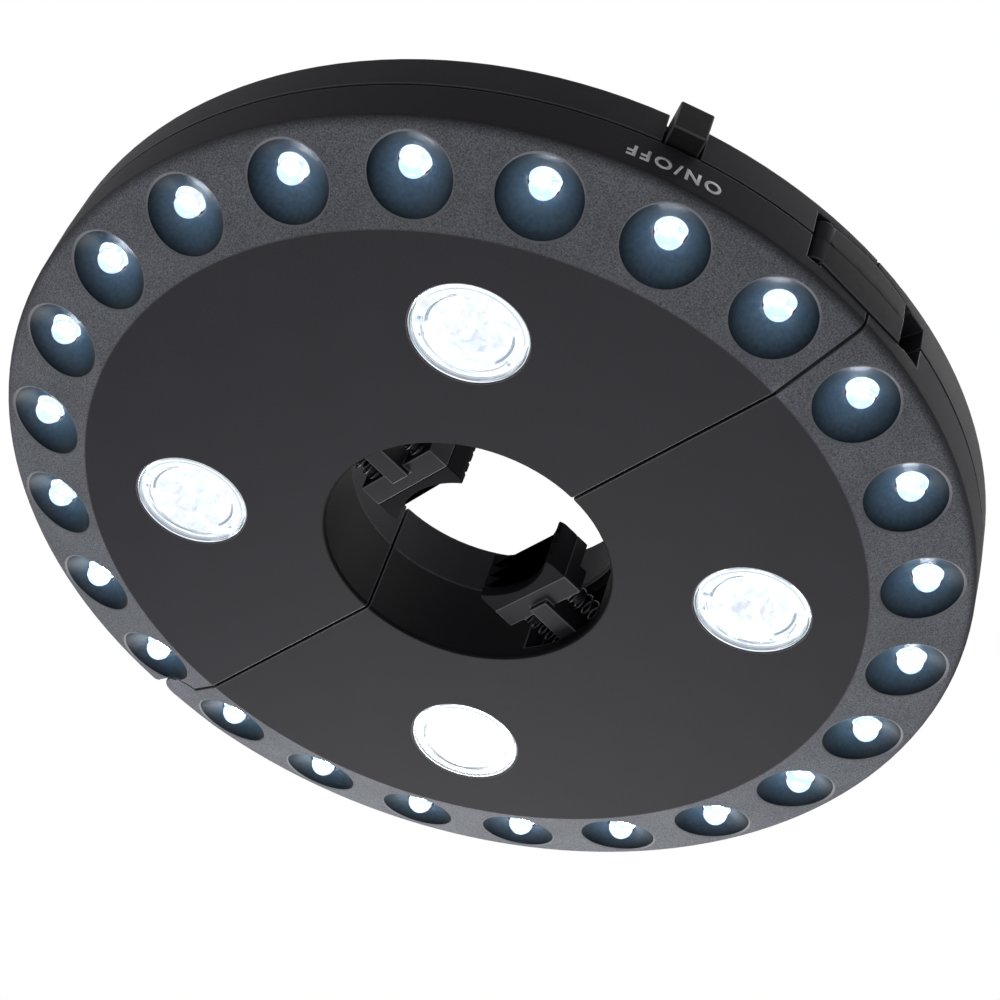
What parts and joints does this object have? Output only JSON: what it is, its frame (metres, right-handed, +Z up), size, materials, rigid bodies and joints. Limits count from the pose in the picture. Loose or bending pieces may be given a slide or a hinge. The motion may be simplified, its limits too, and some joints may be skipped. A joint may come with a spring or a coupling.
{
  "type": "patio umbrella light",
  "caption": "Disc-shaped lamp in two hinged halves that clips round a parasol pole, with sprung jaws, a ring of small LEDs in round bowls, spot lenses, a side latch and a push switch.",
  "frame": {"origin": "pole axis, at the flat lit face", "axes": "+Z up along the pole, away from the lit face, which looks down; +X towards the latch, -X the hinge; the switch is on the -Y half"},
  "size_m": [0.1901, 0.19, 0.029],
  "materials": {
    "casing": "fine texture",
    "cover": "fine texture",
    "board": "satin",
    "lamp": "clear",
    "chip": "satin",
    "lens": "clear",
    "steel": "satin",
    "brass": "satin",
    "cell": "gloss",
    "pad": "matt",
    "switch": "satin",
    "plunger": "satin",
    "button": "satin"
  },
  "bodies": {
    "front_half": {"front_shell": "casing", "front_cover": "cover", "front_board": "board", "front_ring_lamps": "lamp", "front_spot_leds": "chip", "front_contact_plates": "steel", "front_contact_springs": "steel", "front_case_screws": "steel", "front_jaw_guide": "casing", "front_guide_screws": "steel", "front_hook_pin": "steel", "front_jaw_springs": "steel", "battery_1": "cell", "battery_2": "cell", "spot_lens_1": "lens", "spot_lens_2": "lens", "front_link_pins": "brass", "switch_body": "switch", "hinge_pin": "steel", "latch_pin": "steel"},
    "rear_half": {"rear_shell": "casing", "rear_cover": "cover", "rear_board": "board", "rear_ring_lamps": "lamp", "rear_spot_leds": "chip", "rear_contact_plates": "steel", "rear_contact_springs": "steel", "rear_case_screws": "steel", "rear_jaw_guide": "casing", "rear_guide_screws": "steel", "rear_hook_pin": "steel", "rear_jaw_springs": "steel", "battery_3": "cell", "battery_4": "cell", "spot_lens_3": "lens", "spot_lens_4": "lens", "rear_link_pads": "brass"},
    "front_jaw_slider": {"front_jaw": "casing", "front_jaw_pad": "pad"},
    "rear_jaw_slider": {"rear_jaw": "casing", "rear_jaw_pad": "pad"},
    "button": {"power_button": "button", "switch_plunger": "plunger"},
    "latch": {"latch_lever": "cover"},
    "front_door": {"front_battery_door": "cover"},
    "rear_door": {"rear_battery_door": "cover"},
    "front_hanger": {"front_hook": "cover"},
    "rear_hanger": {"rear_hook": "cover"}
  },
  "joints": [
    {"name": "half_hinge", "type": "hinge", "parent": "front_half", "child": "rear_half", "pos_m": [-0.089, 0, 0.0145], "axis": [0, 0, 1], "range_deg": [0, 90]},
    {"name": "front_jaw_slide", "type": "slide", "parent": "front_half", "child": "front_jaw_slider", "axis": [0, -1, 0], "range_m": [-0.0032, 0.0088], "stiffness_N_per_m": 300, "deforming": ["front_jaw_springs"]},
    {"name": "rear_jaw_slide", "type": "slide", "parent": "rear_half", "child": "rear_jaw_slider", "axis": [0, 1, 0], "range_m": [-0.0032, 0.0088], "stiffness_N_per_m": 300, "deforming": ["rear_jaw_springs"]},
    {"name": "button_press", "type": "slide", "parent": "front_half", "child": "button", "axis": [-0.9048, 0.4258, 0], "range_m": [0, 0.0012], "stiffness_N_per_m": 300},
    {"name": "latch_swing", "type": "hinge", "parent": "front_half", "child": "latch", "pos_m": [0.09205, -0.01179, 0.01625], "axis": [0, 0, -1], "range_deg": [0, 60]},
    {"name": "front_door_lift", "type": "slide", "parent": "front_half", "child": "front_door", "axis": [0, 0, 1], "range_m": [0, 0.02]},
    {"name": "rear_door_lift", "type": "slide", "parent": "rear_half", "child": "rear_door", "axis": [0, 0, 1], "range_m": [0, 0.02]},
    {"name": "front_hook_swing", "type": "hinge", "parent": "front_half", "child": "front_hanger", "pos_m": [0.0395, -0.0265, 0.027], "axis": [0, -1, 0], "range_deg": [0, 90]},
    {"name": "rear_hook_swing", "type": "hinge", "parent": "rear_half", "child": "rear_hanger", "pos_m": [-0.0395, 0.0265, 0.027], "axis": [0, 1, 0], "range_deg": [0, 90]}
  ]
}
